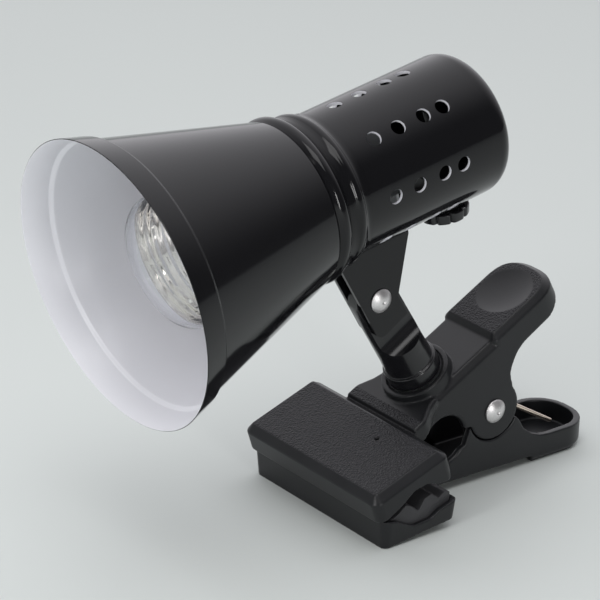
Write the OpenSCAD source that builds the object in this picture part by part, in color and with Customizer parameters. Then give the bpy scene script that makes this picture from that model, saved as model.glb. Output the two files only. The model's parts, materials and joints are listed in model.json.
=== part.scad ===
// Clip-on spot lamp: conical shade, perforated lamp housing, yoke, swivel post and spring clamp.
// Rest pose: jaws closed, clamp standing on z = 0, shade looking along -X and slightly down.

/* [Shade and housing] */
// Outside diameter of the shade's mouth
mouth_d = 108; // [104:1:112]
// Outside diameter of the lamp housing
housing_d = 54.2; // [53:0.1:55]
// Wall of the pressed steel parts
sheet = 0.5; // [0.4:0.1:0.8]
// Diameter of a vent hole
vent_d = 5.6; // [4:0.1:6.5]
// Number of vent rows around the housing
vent_rows = 7; // [5:1:7]
// Number of vents in a row
vents_per_row = 4; // [2:1:4]

/* [Lamp] */
// Diameter of the reflector bulb
bulb_d = 50; // [46:1:50]
// Sag of the lampholder on its bracket, in degrees
holder_sag = 1.2; // [0:0.1:1.5]

/* [Pose at rest] */
// Tilt of the shade below the horizontal, in degrees
head_tilt = 10.6; // [0:0.1:15]
// Lean of the swivel post, in degrees
post_lean = 32.3; // [28:0.1:34]

/* [Clamp] */
// Height of the clamp's pivot above the surface it stands on
pivot_h = 28; // [28:0.1:30]
// Width of the levers
lever_w = 30; // [28:0.5:32]
// Width of the jaws
jaw_w = 79; // [60:1:90]
// Wall of the moulded levers
wall = 2.8; // [2.2:0.1:3]
// Slope of the upper lever's web, in degrees
web_slope = 29; // [27:0.5:31]
// Radius of the round throat between the levers
throat_r = 9.7; // [8:0.1:10]

/* [Rivets] */
// Shank radius of the two rivets
rivet_r = 2.5; // [2:0.1:2.8]
// Head radius of the pivot rivet
pivot_head_r = 4.7; // [4:0.1:6]
// Running clearance of a shank in its bore
run_fit = 0.05; // [0.02:0.01:0.1]

/* [Hidden] */
$fn = 64;

enamel_black = [0.03, 0.03, 0.035];
satin_black = [0.08, 0.08, 0.085];
steel_bright = [0.82, 0.82, 0.84];
brass_yellow = [0.78, 0.62, 0.3];
holder_grey = [0.55, 0.56, 0.58];
clear_glass = [0.9, 0.93, 0.95, 0.4];
gap = 0.3;
seat_gap = 0.03;

// ---- places, in the frame of the clamp's pivot (X to the handles, Z up) ----
boss_x = -26.2;
boss_z = 15.3;
tilt_d = 45.5;
tilt_x = boss_x - tilt_d * sin(post_lean);
tilt_z = boss_z + tilt_d * cos(post_lean);

// ---- head frame: X runs back from the mouth along the shade's axis ----
rivet_s = 108.5;
rivet_drop = 52.2;
mouth_x = tilt_x - rivet_s * cos(head_tilt) - rivet_drop * sin(head_tilt);
lever_end_x = 53;
lip_top_x = mouth_x - mouth_d / 2 * sin(head_tilt);
centre_x = (lip_top_x + lever_end_x) / 2;

function arc(c, r, a0, a1, n) =
  [for (i = [0:n]) [c[0] + r * cos(a0 + (a1 - a0) * i / n), c[1] + r * sin(a0 + (a1 - a0) * i / n)]];

// point at u along the upper web and w above it
function web_pt(u, w) = [
  boss_x + u * cos(web_slope) - w * sin(web_slope),
  boss_z + u * sin(web_slope) + w * cos(web_slope)
];

module to_world() translate([-centre_x, 0, pivot_h]) children();

module head_frame()
  to_world() translate([tilt_x, 0, tilt_z]) rotate([0, -head_tilt, 0])
    translate([-rivet_s, 0, rivet_drop]) children();

module post_frame()
  to_world() translate([boss_x, 0, boss_z]) rotate([0, -post_lean, 0]) children();

module web_frame() translate([boss_x, 0, boss_z]) rotate([0, -web_slope, 0]) children();

// solid of revolution about the X axis from [x, radius] points
module spun(pts, fn = 96)
  rotate([0, 90, 0]) rotate_extrude($fn = fn) polygon([for (p = pts) [p[1], p[0]]]);

// rod along X from x0 to x1
module rod(r, x0, x1) translate([x0, 0, 0]) rotate([0, 90, 0]) cylinder(r = r, h = x1 - x0);

// pin along Y from y0 to y1
module pin(r, y0, y1) translate([0, y1, 0]) rotate([90, 0, 0]) cylinder(r = r, h = y1 - y0);

// x-z outline made into a plate between y0 and y1
module slab(pts, y0, y1)
  translate([0, y1, 0]) rotate([90, 0, 0]) linear_extrude(y1 - y0) polygon(pts);

module both_sides() {
  children();
  mirror([0, 1, 0]) children();
}

// four corner circles of a rounded rectangle
module rounded_plan(x0, x1, half_w, r)
  for (x = [x0 + r, x1 - r], y = [-half_w + r, half_w - r])
    translate([x, y]) circle(r = r);

// block with rounded upright corners, centred on z = 0
module plan_block(x0, x1, half_w, r, h)
  translate([0, 0, -h / 2]) linear_extrude(h) {
    rounded_plan(x0, x1, half_w, r);
    translate([x0 + r, -half_w]) square([x1 - x0 - 2 * r, 2 * half_w]);
    translate([x0, -half_w + r]) square([x1 - x0, 2 * (half_w - r)]);
  }

// domed head of radius r and height h on the +Y side of y = 0
module rivet_head(r, h) {
  edge = 0.5;
  dome_r = (r * r + (h - edge) * (h - edge)) / (2 * (h - edge));
  rotate([-90, 0, 0]) {
    cylinder(r = r, h = edge);
    intersection() {
      translate([0, 0, h - dome_r]) sphere(r = dome_r);
      cylinder(r = r, h = h);
    }
  }
}

// ---- shade and housing ----
housing_r = housing_d / 2;
mouth_r = mouth_d / 2;
lip_len = 9.6;
neck_end = 93;
neck_r = housing_r + sheet + 0.02;
cone_start = [10.6, mouth_r - 4.3];
cone_end = [74.5, 31.4];

shade_line = concat(
  [[0, mouth_r], [lip_len, mouth_r - 2.8], cone_start, cone_end],
  arc([78.2, 28.7], 3.1, 110, 20, 6),
  [[84.2, 29.3]],
  arc([87.4, 26.6], 2.8, 120, 30, 6),
  [[91.8, neck_r], [neck_end, neck_r]]
);

module shade() color(enamel_black) head_frame()
  spun(concat(shade_line, [for (i = [len(shade_line) - 1:-1:0]) shade_line[i] - [0, sheet]]));

housing_front = 85;
housing_rear = 160.7;
corner_r = 7;
gland_r = 4;
switch_s = 144.8;
bush_r = 5;
vent_places = [104.3, 115.4, 127, 135.8];
vent_row_angle = 48;
vent_phase = -7;
rivet_row = [103, 113.4];
yoke_pin_r = 1.3;

// profile of a closed-back cup
function cup(r, front, rear, corner) =
  concat([[front, 0], [front, r]], arc([rear - corner, r - corner], corner, 90, 0, 8), [[rear, 0]]);

module vents()
  for (row = [0:vent_rows - 1], k = [0:vents_per_row - 1])
    rotate([(row - (vent_rows - 1) / 2) * vent_row_angle + vent_phase, 0, 0])
      translate([vent_places[k], 0, 0]) cylinder(d = vent_d, h = housing_d);

module housing() color(enamel_black) head_frame() difference() {
  spun(cup(housing_r, housing_front, housing_rear, corner_r));
  spun(cup(housing_r - sheet, housing_front - 1, housing_rear - sheet, corner_r - sheet));
  vents();
  rod(gland_r, housing_rear - 5, housing_rear + 1);
  translate([switch_s, 0, -housing_d]) cylinder(r = bush_r, h = housing_d);
  for (s = rivet_row) translate([s, 0, -housing_d]) cylinder(r = yoke_pin_r, h = housing_d);
}

cord_r = 3.1;
module cord_gland() color(satin_black) head_frame()
  spun([
    [housing_rear - 5, cord_r], [housing_rear - 5, gland_r + 1.4], [housing_rear - sheet, gland_r + 1.4],
    [housing_rear - sheet, gland_r], [housing_rear, gland_r], [housing_rear, gland_r + 2],
    [housing_rear + 1.2, gland_r + 2], [housing_rear + 5, gland_r + 0.8], [housing_rear + 5, cord_r]
  ], 64);

// ---- lampholder on its bracket ----
bracket_t = 1.2;
bracket_w = 12;
bracket_s = 121.5;
foot_z = -sqrt(pow(housing_r - sheet, 2) - pow(bracket_w / 2, 2)) + 0.01;
holder_front = 77;
holder_rear = bracket_s - bracket_t;
holder_r = 14;
holder_screw_z = 8;
screw_r = 1.5;

// sags about the bracket's bend
module sag_frame()
  head_frame() translate([bracket_s, 0, foot_z]) rotate([0, -holder_sag, 0])
    translate([-bracket_s, 0, -foot_z]) children();

module holder_bracket() color(steel_bright) difference() {
  union() {
    head_frame() translate([rivet_row[0] - 5, -bracket_w / 2, foot_z])
      cube([bracket_s - rivet_row[0] + 5 - gap, bracket_w, bracket_t]);
    sag_frame() translate([holder_rear, -bracket_w / 2, foot_z])
      cube([bracket_t, bracket_w, 38]);
  }
  head_frame() for (s = rivet_row)
    translate([s, 0, -housing_d]) cylinder(r = yoke_pin_r, h = housing_d);
  sag_frame() for (z = [-holder_screw_z, holder_screw_z])
    translate([0, 0, z]) rod(screw_r, holder_rear - 1, bracket_s + 1);
}

module bracket_screws() color(steel_bright) sag_frame()
  for (z = [-holder_screw_z, holder_screw_z]) translate([0, 0, z]) {
    rod(screw_r, holder_rear - 8, bracket_s);
    rod(2.8, bracket_s, bracket_s + 2);
  }

socket_r = 8.2;
socket_end = 105;
module lampholder() color(holder_grey) sag_frame() difference() {
  spun([
    [holder_front, socket_r], [holder_front, 11.5], [holder_front + 1.5, 12.4], [holder_front + 22, 12.4],
    [holder_front + 24, holder_r], [holder_rear, holder_r], [holder_rear, 0], [socket_end, 0],
    [socket_end, socket_r]
  ], 64);
  for (z = [-holder_screw_z, holder_screw_z])
    translate([0, 0, z]) rod(screw_r, holder_rear - 8, holder_rear + 1);
}

cap_r = 6.95;
shell_t = 0.35;
shell_r = cap_r + 0.25;
module holder_shell() color(brass_yellow) sag_frame()
  spun([
    [79, shell_r], [79, socket_r - 0.02], [80, socket_r - 0.02], [80, shell_r + shell_t],
    [99.6, shell_r + shell_t], [99.6, shell_r]
  ], 64);

module holder_contact() color(brass_yellow) sag_frame() union() {
  translate([103.9, -2.5, -6]) cube([0.6, 5, 12]);
  translate([101.4, -2, 5.2]) cube([2.6, 4, 0.6]);
  translate([101.4, -2, -2]) cube([0.5, 4, 7.6]);
}

// ---- bulb ----
bulb_r = bulb_d / 2;
bulb_front = 15.5;
dome_r = 41.3;
shoulder_r = 7.9;
shoulder_at = bulb_r - shoulder_r;
shoulder_angle = asin(shoulder_at / (dome_r - shoulder_r));
belly_depth = dome_r - (dome_r - shoulder_r) * cos(shoulder_angle);
belly_s = bulb_front + belly_depth;
bulb_neck_r = 8.6;
cap_start = 74.5;
cap_end = 97.5;
front_line = concat(
  arc([bulb_front + dome_r, 0], dome_r, 180, 180 - shoulder_angle, 6),
  [for (i = [1:6]) let (a = shoulder_angle + (90 - shoulder_angle) * i / 6)
    [belly_s - shoulder_r * cos(a), shoulder_at + shoulder_r * sin(a)]]
);
rear_line = [
  [belly_s, bulb_r], [33, 24.7], [39, 23.4], [45, 21.2], [51, 18.2], [56, 15.2],
  [61, 12.3], [66, 10.1], [71, 8.8], [cap_start - 0.5, bulb_neck_r], [cap_start + 1, bulb_neck_r]
];
glass_t = 0.6;

// thin shell inside a bulb profile
module shell_of(line)
  spun(concat(line, [for (i = [len(line) - 1:-1:0]) [line[i][0], max(0, line[i][1] - glass_t)]]), 64);

module bulb_glass() color(clear_glass) sag_frame() difference() {
  spun(concat(front_line, [[belly_s, 0]]), 64);
  spun([for (p = concat(front_line, [[belly_s + 1, bulb_r], [belly_s + 1, 0]]))
    [belly_s + (p[0] - belly_s) * (1 - glass_t / belly_depth), p[1] * (1 - glass_t / bulb_r)]], 64);
}

module bulb_reflector() color(steel_bright) sag_frame() shell_of(rear_line);

thread_pitch = 2.82;
skirt_in_r = bulb_neck_r + 0.1;
module bulb_cap() color(steel_bright) sag_frame()
  spun(concat(
    [[cap_start, skirt_in_r], [cap_start, skirt_in_r + 0.5], [cap_start + 1.5, skirt_in_r + 0.5]],
    [[cap_start + 2.3, cap_r]],
    [for (i = [0:28]) [79.6 + i * 0.55, cap_r - 0.3 + 0.3 * cos(i * 0.55 / thread_pitch * 360)]],
    [[cap_end, 4.4], [cap_end, 3.6], [cap_end - 2.3, 5.9], [cap_start + 2.2, 5.9]],
    [[cap_start + 1.1, 8], [cap_start + 1.1, skirt_in_r]]
  ), 64);

module bulb_contact() color(brass_yellow) sag_frame()
  spun([
    [cap_end - 2.5, 0], [cap_end - 2.5, 3.55], [cap_end + 1.6, 3.55], [cap_end + 2.6, 2.4],
    [cap_end + 3.6, 2.2], [cap_end + 3.8, 0]
  ], 48);

filament_s = 44;
module filament() color("silver") sag_frame() union() {
  translate([0, 6, 0]) rod(0.3, filament_s, 70);
  translate([0, -6, 0]) rod(0.3, filament_s, 70);
  translate([filament_s, 0, 0]) pin(0.6, -6.2, 6.2);
  spun([[69.5, 0], [69.5, 6.8], [71.5, 7], [74.5, 7], [74.5, 0]], 32);
}

// ---- rotary switch under the housing's rear ----
knob_r = 10.3;
knob_bottom = -32.9;
knob_top = knob_bottom + 4.3;
stem_r = 2.4;
collar_r = 7.6;
switch_in_z = -(housing_r - sheet) + 1.3;

module at_switch() head_frame() translate([switch_s, 0, 0]) children();

module switch_body() color(satin_black) difference() {
  at_switch() union() {
    translate([-9, -7.5, switch_in_z]) cube([18, 15, 11]);
    translate([0, 0, -housing_r - 0.2]) cylinder(r = bush_r - 0.02, h = 3);
  }
  at_switch() translate([0, 0, -housing_d]) cylinder(r = stem_r + run_fit, h = housing_d - 18);
}

module switch_collar() color(satin_black) difference() {
  at_switch() translate([0, 0, knob_top + gap]) cylinder(r = collar_r, h = 4);
  head_frame() rod(housing_r + seat_gap, switch_s - 20, switch_s + 12);
  at_switch() translate([0, 0, -housing_d]) cylinder(r = stem_r + run_fit, h = housing_d);
  at_switch() translate([0, 0, -housing_r - 0.2]) cylinder(r = bush_r, h = 5);
}

flutes = 10;
flute_r = 1.6;
flute_depth = 0.9;
module switch_knob() color(enamel_black) at_switch() union() {
  difference() {
    union() {
      translate([0, 0, knob_bottom]) cylinder(r1 = knob_r - 0.8, r2 = knob_r, h = 0.8);
      translate([0, 0, knob_bottom + 0.8]) cylinder(r = knob_r, h = knob_top - knob_bottom - 0.8);
    }
    for (i = [0:flutes - 1]) rotate([0, 0, i * 360 / flutes])
      translate([knob_r + flute_r - flute_depth, 0, knob_bottom - 1])
        cylinder(r = flute_r, h = 8, $fn = 24);
  }
  translate([0, 0, knob_top - 1]) cylinder(r = stem_r, h = 8);
}

// ---- yoke and its joint with the post ----
yoke_w = 10;
yoke_t = 1.5;
fold_r = 3.3;
cheek_in = yoke_w / 2 - yoke_t;
tab_slant = 21.7;
tab_front = -8.2;
tab_rear = 6.9;
tab_drop = 14;
tab_r = 3.4;
waist_drop = 4.6;
cheek_front = 91.9;
cheek_rear = 124.5;
base_front = neck_end + gap;
cheek_top_z = -30.7;
yoke_top_z = -housing_r - seat_gap;
yoke_base_z = yoke_top_z - yoke_t;
tilt_head_h = 2.2;
tilt_head_r = 4.6;

// point on a cheek measured from the rivet, square to the lower end
function tab_pt(x, z) = [
  rivet_s + x * cos(tab_slant) - z * sin(tab_slant),
  -rivet_drop + x * sin(tab_slant) + z * cos(tab_slant)
];

cheek_line = concat(
  [[base_front, -20], [cheek_rear, -20], [cheek_rear, cheek_top_z]],
  [tab_pt(tab_rear, -waist_drop), tab_pt(tab_rear, -tab_drop)],
  arc(tab_pt(tab_front + tab_r, tab_r - tab_drop), tab_r, tab_slant - 90, tab_slant - 180, 6),
  [[cheek_front, cheek_top_z], [base_front, cheek_top_z + 1.2]]
);

// arch with rounded shoulders, in Y and Z
module arch(half, top, r)
  polygon(concat(
    [[-half, -90]], arc([r - half, top - r], r, 180, 90, 6),
    arc([half - r, top - r], r, 90, 0, 6), [[half, -90]]
  ));

module yoke() color(enamel_black) head_frame() difference() {
  intersection() {
    translate([cheek_front, 0, 0]) rotate([90, 0, 90])
      linear_extrude(cheek_rear - cheek_front) difference() {
        arch(yoke_w / 2, yoke_top_z, fold_r);
        arch(cheek_in, yoke_base_z, fold_r - yoke_t);
      }
    slab(cheek_line, -yoke_w, yoke_w);
  }
  translate([rivet_s, 0, -rivet_drop]) pin(rivet_r, -yoke_w, yoke_w);
  for (s = rivet_row) translate([s, 0, -40]) cylinder(r = yoke_pin_r, h = 20);
}

module yoke_rivets() color(steel_bright) head_frame()
  for (s = rivet_row) translate([s, 0, 0]) {
    translate([0, 0, yoke_base_z - 0.5]) cylinder(r = yoke_pin_r, h = foot_z + bracket_t + 1 - yoke_base_z);
    translate([0, 0, yoke_base_z - 1.2]) cylinder(r1 = 1.3, r2 = 1.9, h = 1.2);
    translate([0, 0, foot_z + bracket_t]) cylinder(r1 = 2.8, r2 = 2, h = 0.9);
  }

module tilt_rivet() color(steel_bright) head_frame() translate([rivet_s, 0, -rivet_drop]) union() {
  pin(rivet_r, -yoke_w / 2, yoke_w / 2);
  both_sides() translate([0, yoke_w / 2, 0]) rivet_head(tilt_head_r, tilt_head_h);
}

tang_half = 2.7;
washer_r = 6.6;
module tilt_washers() color(steel_bright) head_frame() translate([rivet_s, 0, -rivet_drop])
  both_sides() difference() {
    pin(washer_r, tang_half + 0.05, cheek_in - 0.02);
    pin(rivet_r + run_fit, 0, yoke_w);
  }

// ---- post ----
recess_z = 2.8;
recess_r = 11.2;
foot_r = 10.6;
foot_bottom = recess_z + 1.1;
foot_top = 9.5;
flat_start = 21;
run_out_r = 7.5;
tang_r = 9.2;
post_screw_r = 2;
screw_depth = 20;

module post() color(enamel_black) post_frame() difference() {
  intersection() {
    rotate_extrude($fn = 96) polygon(concat(
      [[0, foot_bottom], [foot_r - 0.3, foot_bottom], [foot_r, foot_bottom + 0.3]],
      arc([foot_r - 1.2, foot_top - 1.2], 1.2, 0, 90, 4),
      [[9.5, foot_top + 0.4], [9.3, 16], [tang_r, 38], [tang_r, 60], [0, 60]]
    ));
    union() {
      translate([-20, -20, 0]) cube([40, 40, tilt_d]);
      translate([0, 0, tilt_d]) pin(tang_r, -20, 20);
    }
  }
  both_sides() {
    translate([-20, tang_half, flat_start + run_out_r]) cube([40, 20, 60]);
    translate([0, tang_half + run_out_r, flat_start + run_out_r]) rod(run_out_r, -20, 20);
  }
  translate([0, 0, tilt_d]) pin(rivet_r + run_fit, -20, 20);
  translate([0, 0, foot_bottom - 1]) cylinder(r = post_screw_r, h = screw_depth + 1);
}

seat_z = -5.4;
module post_washer() color(steel_bright) post_frame() difference() {
  translate([0, 0, recess_z]) cylinder(r = recess_r - 0.7, h = 1);
  translate([0, 0, recess_z - 1]) cylinder(r = post_screw_r + run_fit, h = 3);
}

module post_spring() color(steel_bright) post_frame()
  rotate_extrude() polygon([
    [post_screw_r + run_fit, seat_z - 1], [post_screw_r + run_fit, seat_z - 0.6],
    [4.6, seat_z - 0.02], [4.6, seat_z - 0.42]
  ]);

module post_screw() color(steel_bright) post_frame() union() {
  translate([0, 0, seat_z - 1.1]) cylinder(r = post_screw_r, h = foot_bottom + screw_depth - seat_z + 0.9);
  difference() {
    translate([0, 0, seat_z - 3.3]) cylinder(r1 = 3.4, r2 = 4.2, h = 2.25);
    translate([-0.5, -3, seat_z - 3.4]) cube([1, 6, 1.1]);
    translate([-3, -0.5, seat_z - 3.4]) cube([6, 1, 1.1]);
  }
}

// ---- clamp: upper lever ----
half_w = lever_w / 2;
inner_w = half_w - wall;
ear_r = 11.7;
throat = [-24, -6.2];
step_u = 28;
pad_w = 2.2;
pad_end = 64.5;
pad_corner = 13.5;
end_wall = 2.4;
dish_r = 36.4;
dish_depth = 1.9;
dish_u = 48.2;
bevel = 2.5;
boss_r = 13.8;
jaw_half = jaw_w / 2;
jaw_corner = 3.5;

upper_side = [
  web_pt(-19, 0), web_pt(step_u, 0), web_pt(step_u + 0.8, pad_w), web_pt(pad_end, pad_w),
  web_pt(pad_end, -4.5), web_pt(60, -8), web_pt(55, -10), web_pt(36, -10.6), web_pt(31, -13),
  web_pt(28, -17.5), [9.6, 6.8], [0, -4], [-11.2, -4], [-14.8, -3.6], [-24, -5], [-34, -3], [-42.4, -3.2]
];
upper_hollow = [
  web_pt(-15, -3), web_pt(step_u, -3), web_pt(step_u + 1, pad_w - 3), web_pt(pad_end, pad_w - 3),
  web_pt(pad_end, -14), web_pt(20, -50), [-39.5, -20]
];
upper_jaw_line = [
  [-78, -8.2], [-76, -5.2], [-46.4, 5.2], [-43, 3.4], [-42.2, 1.5], [-42.2, -7], [-47.4, -7.4],
  [-53.2, -5.8], [-59.3, -6.9], [-64.3, -11], [-71.6, -15.4], [-74.6, -16]
];
upper_pocket = [
  [-73.4, -11.4], [-71.8, -6.8], [-47, 1.8], [-44.6, 1], [-44.6, -9], [-47.4, -12], [-60, -20], [-71.6, -20]
];

// triangular bar that takes an edge off along X, for the +Y side
module edge_bar(x0, x1, z)
  translate([x0, 0, z]) rotate([90, 0, 90]) linear_extrude(x1 - x0)
    polygon([[half_w - bevel, 0.01], [half_w + 1, 0.01], [half_w + 1, -bevel - 1], [half_w, -bevel]]);

module upper_shell() difference() {
  intersection() {
    union() {
      slab(upper_side, -half_w, half_w);
      pin(ear_r, -half_w, half_w);
    }
    web_frame() plan_block(-60, pad_end + 0.5, half_w, pad_corner, 160);
  }
  intersection() {
    slab(upper_hollow, -inner_w, inner_w);
    web_frame() plan_block(-60, pad_end - end_wall, inner_w, pad_corner - end_wall, 160);
  }
  pin(ear_r + 1.5, -inner_w, inner_w);
  both_sides() web_frame() {
    edge_bar(-30, step_u + 0.4, 0);
    edge_bar(step_u + 0.4, pad_end + 2, pad_w);
  }
  web_frame() translate([dish_u, 0, pad_w + dish_r - dish_depth]) sphere(r = dish_r, $fn = 96);
}

// web widens to meet the jaw
module jaw_root() intersection() {
  slab([web_pt(-19.5, 0), web_pt(-5, 0), web_pt(-5, -wall), [-40, -1], [-42.4, -1]], -20, 20);
  web_frame() translate([0, 0, -20]) linear_extrude(40)
    polygon([[-25, -20], [-15, -20], [-9, -16.5], [-5, -15], [-5, 15], [-9, 16.5], [-15, 20], [-25, 20]]);
}

jaw_slope = atan(10.4 / 29.6);
// block along the jaw's slope whose two upper side edges are bevelled
module jaw_bevels()
  translate([-61.2, 0, 0]) rotate([0, -jaw_slope, 0]) rotate([90, 0, 90]) translate([0, 0, -40])
    linear_extrude(80) polygon([
      [-jaw_half, -40], [jaw_half, -40], [jaw_half, -bevel], [jaw_half - bevel, 0.01],
      [bevel - jaw_half, 0.01], [-jaw_half, -bevel]
    ]);

module upper_jaw() difference() {
  intersection() {
    slab(upper_jaw_line, -jaw_half, jaw_half);
    plan_block(-78.6, -42, jaw_half, jaw_corner, 80);
    jaw_bevels();
  }
  slab(upper_pocket, -jaw_half + 2.2, jaw_half - 2.2);
}

module upper_lever() color(satin_black) to_world() difference() {
  union() {
    upper_shell();
    jaw_root();
    upper_jaw();
    translate([boss_x, 0, boss_z]) rotate([0, -post_lean, 0]) {
      translate([0, 0, -2]) cylinder(r1 = boss_r, r2 = boss_r - 0.4, h = 6);
      translate([0, 0, seat_z]) cylinder(r = 7, h = 5);
    }
  }
  translate([boss_x, 0, boss_z]) rotate([0, -post_lean, 0]) {
    translate([0, 0, recess_z]) cylinder(r = recess_r, h = 3);
    translate([0, 0, -20]) cylinder(r = post_screw_r + run_fit, h = 40);
  }
  translate([throat[0], 0, throat[1]]) pin(throat_r, -half_w - 6, half_w + 6);
  pin(rivet_r + run_fit, -40, 40);
}

upper_grip_line = [
  [-73, -11.6], [-71.6, -7.2], [-47, 1.4], [-45, 0.7], [-45, -7.6], [-48, -8.4], [-50, -6.8],
  [-53.5, -7.6], [-56.5, -6.6], [-60, -7.6], [-62, -10], [-65.5, -12], [-69, -14.2], [-71.4, -14.8]
];
module upper_grip() color(satin_black) to_world()
  slab(upper_grip_line, -jaw_half + 2.5, jaw_half - 2.5);

// ---- clamp: lower lever ----
foot_x = 22.5;
floor_t = 2.6;
lug_out = inner_w - gap;
lug_in = lug_out - 2.7;
lug_r = 10.5;
ear_gap = 0.5;

lower_side = [
  [-40, -16.2], [-22, -15.2], [-14, -11], [-11.9, -5.2], [-10, -2], [0, 4], [11, -5.2], [13.2, -7.2],
  [16.3, -12], [20.6, -15.2], [25, -16.8], [30, -17.4], [lever_end_x, -17.4],
  [lever_end_x, -pivot_h], [foot_x, -pivot_h],
  [foot_x - 1.5, -25], [-40, -24]
];
lower_hollow = [
  [-36, -21.2], [-36, 20], [60, 20], [60, -pivot_h + floor_t], [foot_x + 1, -pivot_h + floor_t], [foot_x - 1.5, wall - 25]
];
lower_jaw_line = [
  [-73, -16.4], [-67, -17.2], [-62.5, -19.6], [-58, -21.6], [-50.6, -21], [-46.3, -18.4],
  [-38.2, -15.9], [-37.4, -16.6], [-37.4, -24], [-71.2, -pivot_h], [-72, -pivot_h + 0.4]
];
lower_pocket = [[-70.2, 0], [-70.2, -25.2], [-39.8, -21.6], [-39.8, 0]];

// the same bar for an edge that faces down
module edge_bar_low(x0, x1, z) mirror([0, 0, 1]) edge_bar(x0, x1, -z);

module lower_shell() {
  difference() {
    intersection() {
      slab(lower_side, -half_w, half_w);
      plan_block(-60, lever_end_x, half_w, pad_corner, 160);
    }
    intersection() {
      slab(lower_hollow, -inner_w, inner_w);
      plan_block(-60, lever_end_x - end_wall, inner_w, pad_corner - end_wall, 160);
    }
    pin(ear_r + ear_gap, -half_w - 1, half_w + 1);
    both_sides() edge_bar_low(foot_x - 0.8, lever_end_x + 2, -pivot_h);
  }
  both_sides() difference() {
    union() {
      pin(lug_r, lug_in, lug_out);
      slab([[-lug_r, 0], [-lug_r, -18], [-6, -24], [8, -24], [12, -18], [lug_r, 0]], lug_in, inner_w + 0.5);
    }
    pin(ear_r + ear_gap, lug_out, half_w);
  }
}

module lower_jaw() difference() {
  intersection() {
    slab(lower_jaw_line, -jaw_half, jaw_half);
    plan_block(-73, -37.4, jaw_half, jaw_corner, 80);
  }
  slab(lower_pocket, -jaw_half + 2.2, jaw_half - 2.2);
}

module lower_lever() color(satin_black) to_world() difference() {
  union() {
    lower_shell();
    lower_jaw();
  }
  translate([throat[0], 0, throat[1]]) pin(throat_r, -half_w - 6, half_w + 6);
  pin(rivet_r, -40, 40);
}

lower_grip_line = [
  [-69.9, -25], [-69.9, -17.4], [-66.5, -16.8], [-64.8, -16], [-61, -13.2], [-58, -14.6], [-54.8, -17.4],
  [-52.2, -13], [-49, -12], [-45.4, -14.8], [-42.9, -12.9], [-40.2, -13.4], [-40.1, -21.5]
];
module lower_grip() color(satin_black) to_world()
  slab(lower_grip_line, -jaw_half + 2.5, jaw_half - 2.5);

// ---- clamp: rivet and spring ----
pivot_head_h = 2.3;
module pivot_rivet() color(steel_bright) to_world() union() {
  pin(rivet_r, -half_w - 0.1, half_w + 0.1);
  both_sides() translate([0, half_w + 0.1, 0]) rivet_head(pivot_head_r, pivot_head_h);
}

wire_r = 0.9;
coil_r = 4.4;
turns = 7;
leg_y = 5.4;
low_leg = [-31, 42];
high_leg = [85, 33];

// straight end of the wire along the coil's tangent, on the side (1 or -1) it leaves from
module leg(angle_length, side)
  rotate([0, -angle_length[0], 0]) translate([0, 0, side * coil_r]) rod(wire_r, 0, angle_length[1]);

module clamp_spring() color(brass_yellow) to_world() union() {
  rotate([90, 0, 0]) rotate_extrude() for (i = [0:turns - 1])
    translate([coil_r, (i - (turns - 1) / 2) * 2 * wire_r * 0.98]) circle(r = wire_r, $fn = 24);
  translate([0, -leg_y, 0]) leg(low_leg, 1);
  translate([0, leg_y, 0]) leg(high_leg, -1);
}

shade();
housing();
cord_gland();
holder_bracket();
bracket_screws();
lampholder();
holder_shell();
holder_contact();
bulb_glass();
bulb_reflector();
bulb_cap();
bulb_contact();
filament();
switch_body();
switch_collar();
switch_knob();
yoke();
yoke_rivets();
tilt_rivet();
tilt_washers();
post();
post_washer();
post_spring();
post_screw();
upper_lever();
upper_grip();
lower_lever();
lower_grip();
pivot_rivet();
clamp_spring();
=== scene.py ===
"""Looks of the clip-on spot lamp: turned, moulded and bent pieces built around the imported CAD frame.

Outlines are in millimetres in local frames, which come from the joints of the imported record: HEAD runs
back from the shade's mouth, BULB does so along the bulb's own axis, POST runs up the swivel post, CLAMP
lies level at the clamp's pivot and WEB runs up the upper lever. Numbers inside an outline are its
coordinates, and a third number on a point is the radius of that corner.
"""
import json
import math

import bmesh
import bpy
from mathutils import Matrix, Vector


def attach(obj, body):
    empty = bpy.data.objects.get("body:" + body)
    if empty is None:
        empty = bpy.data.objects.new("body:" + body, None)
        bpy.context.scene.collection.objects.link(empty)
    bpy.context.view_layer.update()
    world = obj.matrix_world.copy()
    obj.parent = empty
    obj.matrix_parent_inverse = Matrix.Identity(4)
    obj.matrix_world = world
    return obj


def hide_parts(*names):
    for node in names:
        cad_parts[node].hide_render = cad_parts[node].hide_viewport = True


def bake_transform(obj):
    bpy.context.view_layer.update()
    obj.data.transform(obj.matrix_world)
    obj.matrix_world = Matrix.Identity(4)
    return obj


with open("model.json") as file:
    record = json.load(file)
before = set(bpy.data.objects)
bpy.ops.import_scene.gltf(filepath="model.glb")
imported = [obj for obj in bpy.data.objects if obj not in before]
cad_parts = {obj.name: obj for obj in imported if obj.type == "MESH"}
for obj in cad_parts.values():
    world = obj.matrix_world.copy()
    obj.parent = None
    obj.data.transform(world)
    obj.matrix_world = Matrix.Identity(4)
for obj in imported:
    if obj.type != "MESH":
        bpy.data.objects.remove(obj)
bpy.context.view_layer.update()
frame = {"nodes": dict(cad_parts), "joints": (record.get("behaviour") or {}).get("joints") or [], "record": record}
record = frame["record"]
joints = {j["name"]: j for j in frame["joints"]}

MM = 0.001
TINY = 1e-6

# ---- fineness and edges ----
# sides of a full turn
TURN, SHADE_TURN = 192, 256
# edges sharper than these angles stay hard: in general, on rivets and wire, on moulded levers
SHARP, ROUND_SHARP, MOULD_SHARP = math.radians(35), math.radians(50), math.radians(60)
# limits on fillets and on insets
NEARLY_STRAIGHT, FILLET_SHARE, MITRE_LIMIT = math.radians(89), 0.48, 0.35
RIM_STEPS, WIRE_SIDES = 3, 14
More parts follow.
